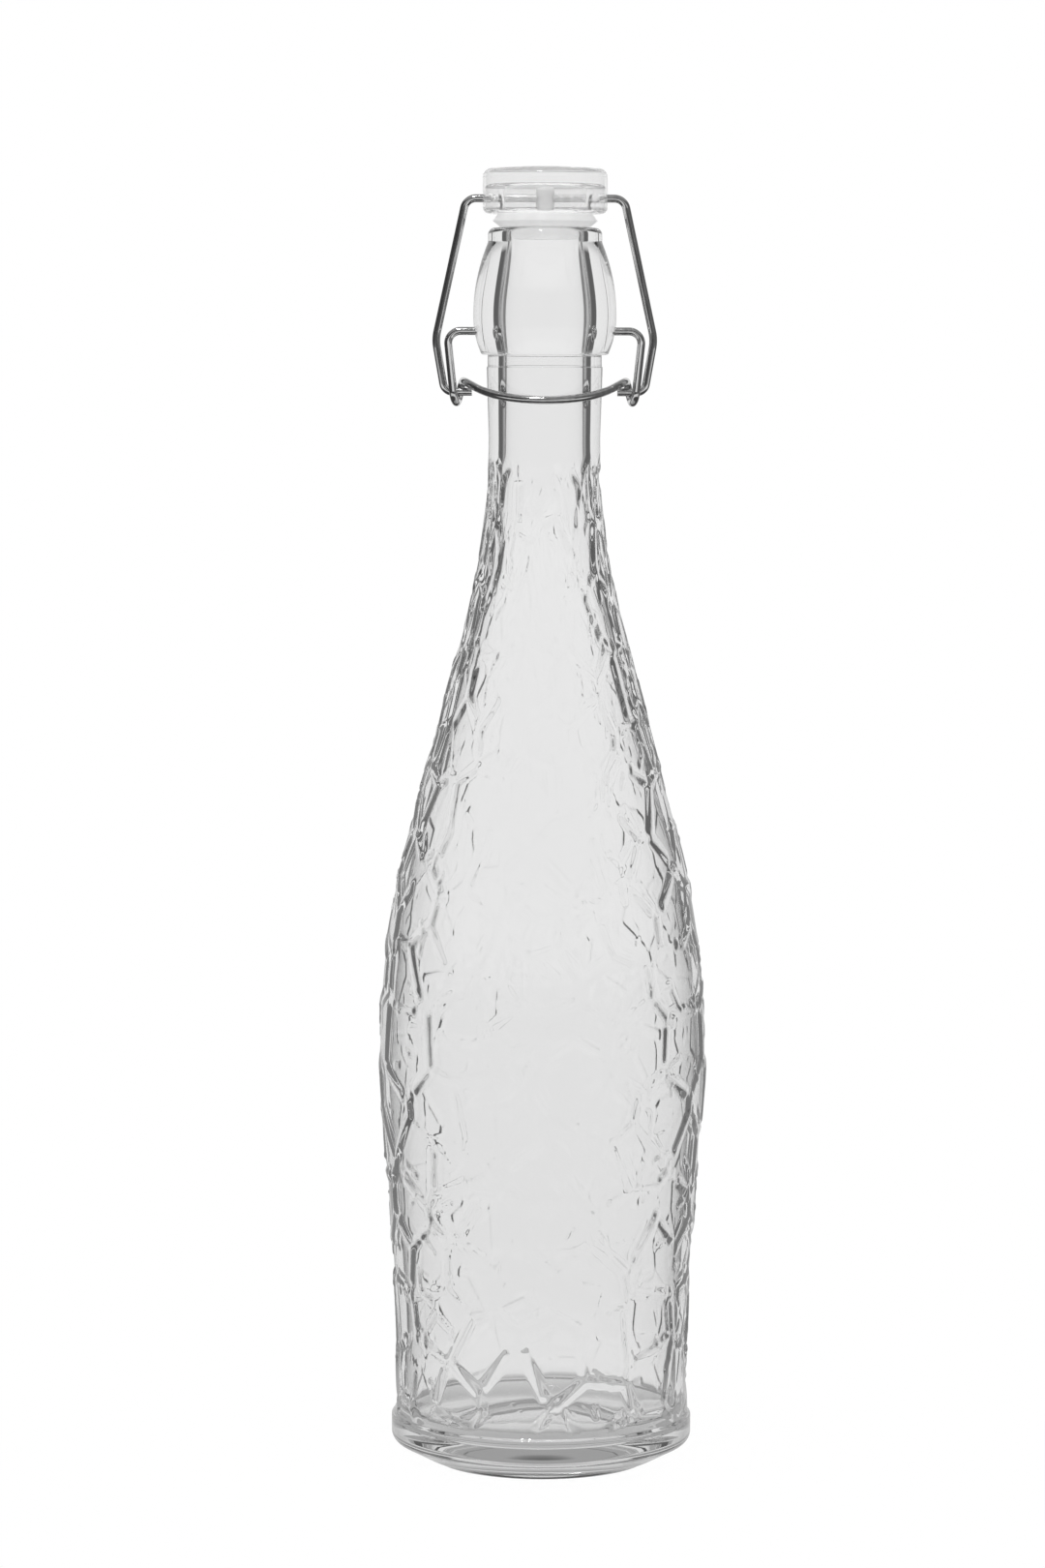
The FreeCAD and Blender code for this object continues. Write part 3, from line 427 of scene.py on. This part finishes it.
# The floors between the ridges lean a little, each its own way, and carry shorter and lower strokes.
def crackleDepth(radius, height, angles):
    rng = np.random.default_rng(bottle["seed"])
    ridge, lean = ridgeNet(crackleCentres(), bottle["net"], radius, height, angles, rng)
    fine = bottle["fineNet"]
    rows = np.arange(-1, fine["rise"] / fine["pitch"] + 1)
    row, column = [a.ravel() for a in np.meshgrid(rows, np.arange(fine["columns"]), indexing="ij")]
    stray = rng.uniform(-fine["wander"], fine["wander"], (2, row.size))
    strokeAngle = (column + row % 2 / 2 + stray[0]) * math.tau / fine["columns"]
    strokeHeight = (row + stray[1]) * fine["pitch"] + fine["firstRow"]
    stroke, _ = ridgeNet((strokeAngle, strokeHeight), fine, radius, height, angles, rng)
    depth = (bottle["ridgeHeight"] + lean) * (1 - ridge)
    depth = np.maximum(depth - fine["height"] * stroke, 0)
    fade = easeStep(height, *bottle["reliefTop"]) * easeStep(height, *bottle["reliefFoot"])
    # the cells grow narrower and shallower towards the neck
    fade *= (radius / bottle["belly"][0]) ** bottle["neckFade"]
    return depth * fade[:, None]


# One ring of points for each point of the outline between its two ends.
def bottleRings(outline):
    count = bottle["around"]
    angles = np.arange(count) * math.tau / count
    radius = np.repeat(outline[1:-1, :1], count, 1)
    height = np.repeat(outline[1:-1, 1:], count, 1)
    top = int(np.argmax(outline[1:-1, 1]))
    low, high = bottle["reliefFoot"][0], bottle["reliefTop"][0]
    textured = [i for i in range(top) if low < height[i, 0] < high]
    radius[textured] -= crackleDepth(radius[textured, 0], height[textured, 0], angles)
    # fine knurling on the ring that the bottle stands on
    inner, outer = bottle["stippleRadii"]
    for i in range(top):
        if height[i, 0] < bottle["onFloor"] and inner < radius[i, 0] < outer:
            height[i] += bottle["stipple"] * ((np.arange(count) + i) % 2)
    x, y = radius * np.cos(angles), radius * np.sin(angles)
    # the two blind sockets that take the lever's pins
    aside = np.hypot(y, height - bottle["pivotHeight"])
    socket = (aside < bottle["socketRadius"]) & (np.arange(len(radius)) < top)[:, None]
    hollow = np.sqrt(np.clip(bottle["socketRadius"] ** 2 - aside ** 2, 0, None))
    deep = bottle["socketFloor"] + bottle["socketRadius"] - hollow
    x = np.where(socket, np.sign(x) * np.minimum(abs(x), deep), x)
    return np.stack([x, y, height], -1)


def bottleMesh(outline):
    rings = bottleRings(outline)
    rows, count = rings.shape[:2]
    ends = [[0, 0, outline[0, 1]], [0, 0, outline[-1, 1]]]
    verts = np.vstack([rings.reshape(-1, 3), ends]) * mm
    i, j = np.meshgrid(np.arange(rows - 1), np.arange(count), indexing="ij")
    following, here, onward = (j + 1) % count, i * count, (i + 1) * count
    quads = np.stack([here + j, here + following, onward + following, onward + j], -1).reshape(-1, 4)
    firstEnd, lastRing = rows * count, (rows - 1) * count
    fans = [(firstEnd, (k + 1) % count, k) for k in range(count)]
    fans += [(firstEnd + 1, lastRing + k, lastRing + (k + 1) % count) for k in range(count)]
    mesh = bpy.data.meshes.new("bottleGlassShell")
    mesh.from_pydata(verts.tolist(), [], quads.tolist() + fans)
    mesh.polygons.foreach_set("use_smooth", np.ones(len(mesh.polygons), bool))
    return mesh


# The map runs round the bottle and along its outline.
def mapBottle(mesh, outline):
    count = bottle["around"]
    along = np.concatenate([[0], np.cumsum(np.linalg.norm(np.diff(outline, axis=0), axis=1))])
    along /= along[-1]
    v = along[1:-1]
    i, j = [a.ravel() for a in np.meshgrid(np.arange(len(v) - 1), np.arange(count), indexing="ij")]
    u, step = j / count, 1 / count
    loops = np.stack([u, v[i], u + step, v[i], u + step, v[i + 1], u, v[i + 1]], -1).ravel()
    fanLoops = []
    for k in range(count):
        fanLoops += [(k + 0.5) / count, 0, (k + 1) / count, v[0], k / count, v[0]]
    for k in range(count):
        fanLoops += [(k + 0.5) / count, 1, k / count, v[-1], (k + 1) / count, v[-1]]
    mesh.uv_layers.new(name="OFBake").data.foreach_set("uv", np.concatenate([loops, fanLoops]))


def buildBottle():
    outline = np.array(bottleOutline())
    mesh = bottleMesh(outline)
    mapBottle(mesh, outline)
    made = bpy.data.objects.new("bottle_glass", mesh)
    scene.collection.objects.link(made)
    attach(made, "bottle")
    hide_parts("bottle")
    made.data.materials.append(makeGlass())
    return made


def dressNode(name, material):
    target = nodes[name]
    target.data.materials.clear()
    target.data.materials.append(material)


shell = buildBottle()
print("bottle: %d faces" % len(shell.data.polygons))
steel = makeSteel()
dressNode("bail_wire", steel)
dressNode("lever_wire", steel)
dressNode("stopper_cap", makeClearPlastic())
dressNode("stopper_seal", makeSilicone())
print("closure dressed")

stage = {"floorHalf": 3.0, "paper": 0.88, "glow": 1.0, "lit": 0.86, "shadowReach": (0.045, 0.14)}


def buildFloor():
    half = stage["floorHalf"]
    corners = [(-half, -half, 0), (half, -half, 0), (half, half, 0), (-half, half, 0)]
    mesh = bpy.data.meshes.new("floorSheet")
    mesh.from_pydata(corners, [], [(0, 1, 2, 3)])
    floor = bpy.data.objects.new("floor", mesh)
    scene.collection.objects.link(floor)
    made, tree = newMaterial("floorPaper")
    path = addNode(tree, "ShaderNodeLightPath").outputs
    plain = addNode(tree, "ShaderNodeBsdfDiffuse", {"Color": grey(stage["paper"])})
    glow = addNode(tree, "ShaderNodeEmission", {"Color": grey(1.0), "Strength": stage["glow"]})
    away = addNode(tree, "ShaderNodeVectorMath", {0: coords(tree, "Object")}, operation="LENGTH")
    # the shadow near the foot melts into plain white further out
    white = mapRange(tree, away.outputs["Value"], stage["lit"], 1.0, *stage["shadowReach"])
    share = calc(tree, "MULTIPLY", path["Is Camera Ray"], white)
    seen = mixShaders(tree, share, plain.outputs[0], glow.outputs[0])
    # glass and metal look past the floor to the studio round it
    past = calc(tree, "MAXIMUM", path["Is Glossy Ray"], path["Is Transmission Ray"])
    clear = addNode(tree, "ShaderNodeBsdfTransparent")
    closeMaterial(tree, mixShaders(tree, past, seen, clear.outputs[0]))
    mesh.materials.append(made)


studio = {
    "white": 1.0, "soft": 0.95, "pale": 0.82, "dim": 0.07, "ceiling": 0.3, "glassRoom": 0.66,
    "lost": 0.16, "caught": 0.36,
    # (degrees round from straight behind the bottle, level)
    "cards": [(-180, 0.85), (-130, 0.85), (-90, 0.64), (-62, 0.42), (-54, 0.08), (-38, 0.08), (-36, 0.85),
              (36, 0.85), (38, 0.08), (54, 0.08), (62, 0.42), (90, 0.64), (130, 0.85)],
    "room": [(-180, 0.08), (-110, 0.05), (-39, 0.05), (-36, 0.85), (36, 0.85), (39, 0.13), (136, 0.13),
             (180, 0.08)],
    "window": [(-180, 1.0), (-157, 1.0), (-150, 0.03), (-110, 0.03), (-95, 0.1), (-85, 0.1), (-70, 0.03),
               (-39, 0.05), (-36, 0.85), (36, 0.85), (39, 0.12), (136, 0.14), (144, 1.0)],
    "table": [(-180, 0.85), (-116, 0.85), (-100, 0.08), (-39, 0.06), (-36, 0.6), (36, 0.6), (39, 0.13),
              (100, 0.12), (116, 0.85)],
    # (share of the way up, level): from straight down to level, and from straight down to straight up
    "below": [(0.0, 0.5), (0.4, 0.56), (0.6, 0.7), (0.7, 0.84)],
    "layers": [(0.0, 0.5), (0.25, 0.6), (0.4, 0.92), (0.54, 0.88), (0.6, 0.4), (0.68, 0.4), (0.74, 1.0)],
    # how far up a ray points, from -1 to 1
    "overCards": (0.3, 0.45), "underCards": (-0.26, -0.4), "lostBand": (-0.24, 0.24),
    "windowBand": (0.13, 0.24), "tableBand": (-0.5, -0.16), "bandEdge": 0.03,
    "ceilingRise": (0.56, 0.64), "dimFall": (-0.5, -0.56),
    # counts of a ray's turns, set halfway between whole numbers
    "anyTurn": 0.5, "solidDepth": 3.5, "longDepth": 4.5,
}


def turnRamp(tree, around, stops):
    return ramp(tree, around, [((degrees + 180) / 360, level) for degrees, level in stops])


def rising(tree, up, heights):
    return mapRange(tree, up, 0.0, 1.0, *heights)


def bandOf(tree, up, heights):
    edge = studio["bandEdge"]
    low, high = heights
    rise = mapRange(tree, up, 0.0, 1.0, low - edge, low + edge)
    fall = mapRange(tree, up, 1.0, 0.0, high - edge, high + edge)
    return calc(tree, "MULTIPLY", rise, fall)


# What light that went through a clear piece meets.
def lightThrough(tree, around, up, path):
    # dark cards at both sides of a bright back, pale above and greyer below
    light = turnRamp(tree, around, studio["cards"])
    light = blend(tree, rising(tree, up, studio["overCards"]), light, grey(studio["pale"]))
    below = ramp(tree, rising(tree, up, (-1.0, 0.0)), studio["below"])
    light = blend(tree, rising(tree, up, studio["underCards"]), light, below)
    # what turned inside a wall on a long way loses more
    turned = calc(tree, "GREATER_THAN", path["Glossy Depth"], studio["anyTurn"])
    longWay = calc(tree, "GREATER_THAN", path["Ray Depth"], studio["longDepth"])
    lost = calc(tree, "MULTIPLY", turned, longWay)
    lost = calc(tree, "MULTIPLY", lost, bandOf(tree, up, studio["lostBand"]))
    light = blend(tree, lost, light, grey(studio["lost"]))
    # solid pieces bend it twice only and show a plain pale back
    solid = calc(tree, "LESS_THAN", path["Ray Depth"], studio["solidDepth"])
    light = blend(tree, solid, light, grey(studio["pale"]))
    # the cap's surface is a little rougher and shows a room that is layered from top to bottom
    layers = ramp(tree, rising(tree, up, (-1.0, 1.0)), studio["layers"])
    return blend(tree, path["Is Singular Ray"], layers, light)


# What wires mirror: a dim room, a window a little above eye level, a lit table front and a grey ceiling.
def lightMirrored(tree, around, up, path):
    light = turnRamp(tree, around, studio["room"])
    window = turnRamp(tree, around, studio["window"])
    table = turnRamp(tree, around, studio["table"])
    light = blend(tree, bandOf(tree, up, studio["windowBand"]), light, window)
    light = blend(tree, bandOf(tree, up, studio["tableBand"]), light, table)
    light = blend(tree, rising(tree, up, studio["ceilingRise"]), light, grey(studio["ceiling"]))
    light = blend(tree, rising(tree, up, studio["dimFall"]), light, grey(studio["dim"]))
    # glass mirrors a plain pale room
    return blend(tree, path["Is Singular Ray"], light, grey(studio["glassRoom"]))


# White to the camera, and soft light to whatever is matt.
def buildWorld():
    world = bpy.data.worlds.new("studio")
    scene.world = world
    world.use_nodes = True
    tree = world.node_tree
    tree.nodes.clear()
    way = addNode(tree, "ShaderNodeSeparateXYZ", {"Vector": coords(tree, "Generated")}).outputs
    up = way["Z"]
    around = mapRange(tree, calc(tree, "ARCTAN2", way["X"], way["Y"]), 0.0, 1.0, -math.pi, math.pi)
    path = addNode(tree, "ShaderNodeLightPath").outputs
    mirrored = lightMirrored(tree, around, up, path)
    seen = blend(tree, path["Is Glossy Ray"], grey(studio["soft"]), mirrored)
    seen = blend(tree, path["Is Transmission Ray"], seen, lightThrough(tree, around, up, path))
    caught = calc(tree, "GREATER_THAN", path["Glossy Depth"], caughtTurns)
    seen = blend(tree, caught, seen, grey(studio["caught"]))
    matt = calc(tree, "GREATER_THAN", path["Diffuse Depth"], studio["anyTurn"])
    seen = blend(tree, matt, seen, grey(studio["soft"]))
    seen = blend(tree, path["Is Camera Ray"], seen, grey(studio["white"]))
    back = addNode(tree, "ShaderNodeBackground", {"Color": seen, "Strength": 1.0})
    addNode(tree, "ShaderNodeOutputWorld", {"Surface": back.outputs[0]})


lamp = {"place": (-0.2, -0.66, 1.5), "target": (0, 0, 0.2), "width": 0.2, "depth": 0.12, "power": 6}


def addLamp():
    light = bpy.data.lights.new("key", "AREA")
    light.shape = "RECTANGLE"
    light.size, light.size_y = lamp["width"], lamp["depth"]
    light.energy = lamp["power"]
    holder = bpy.data.objects.new("key", light)
    scene.collection.objects.link(holder)
    holder.location = lamp["place"]
    toTarget = Vector(lamp["target"]) - Vector(lamp["place"])
    holder.rotation_euler = toTarget.to_track_quat("-Z", "Y").to_euler()


buildFloor()
buildWorld()
addLamp()

view = {
    "focalPixels": 5417, "photoWidth": 1080, "sensor": 36, "nearest": 0.05, "farthest": 50,
    "away": 1.3, "aside": -0.0055, "height": 0.27974, "pitch": 4.833, "roll": -0.18,
}


def addCamera():
    lens = bpy.data.cameras.new("camera")
    lens.sensor_fit, lens.sensor_width = "HORIZONTAL", view["sensor"]
    lens.lens = view["focalPixels"] / view["photoWidth"] * view["sensor"]
    lens.clip_start, lens.clip_end = view["nearest"], view["farthest"]
    holder = bpy.data.objects.new("camera", lens)
    scene.collection.objects.link(holder)
    holder.location = (view["aside"], -view["away"], view["height"])
    holder.rotation_euler = (math.radians(90 - view["pitch"]), math.radians(view["roll"]), 0)
    scene.camera = holder


addCamera()
scene.view_settings.view_transform = "Standard"
print("stage and camera set")

bpy.context.view_layer.update()
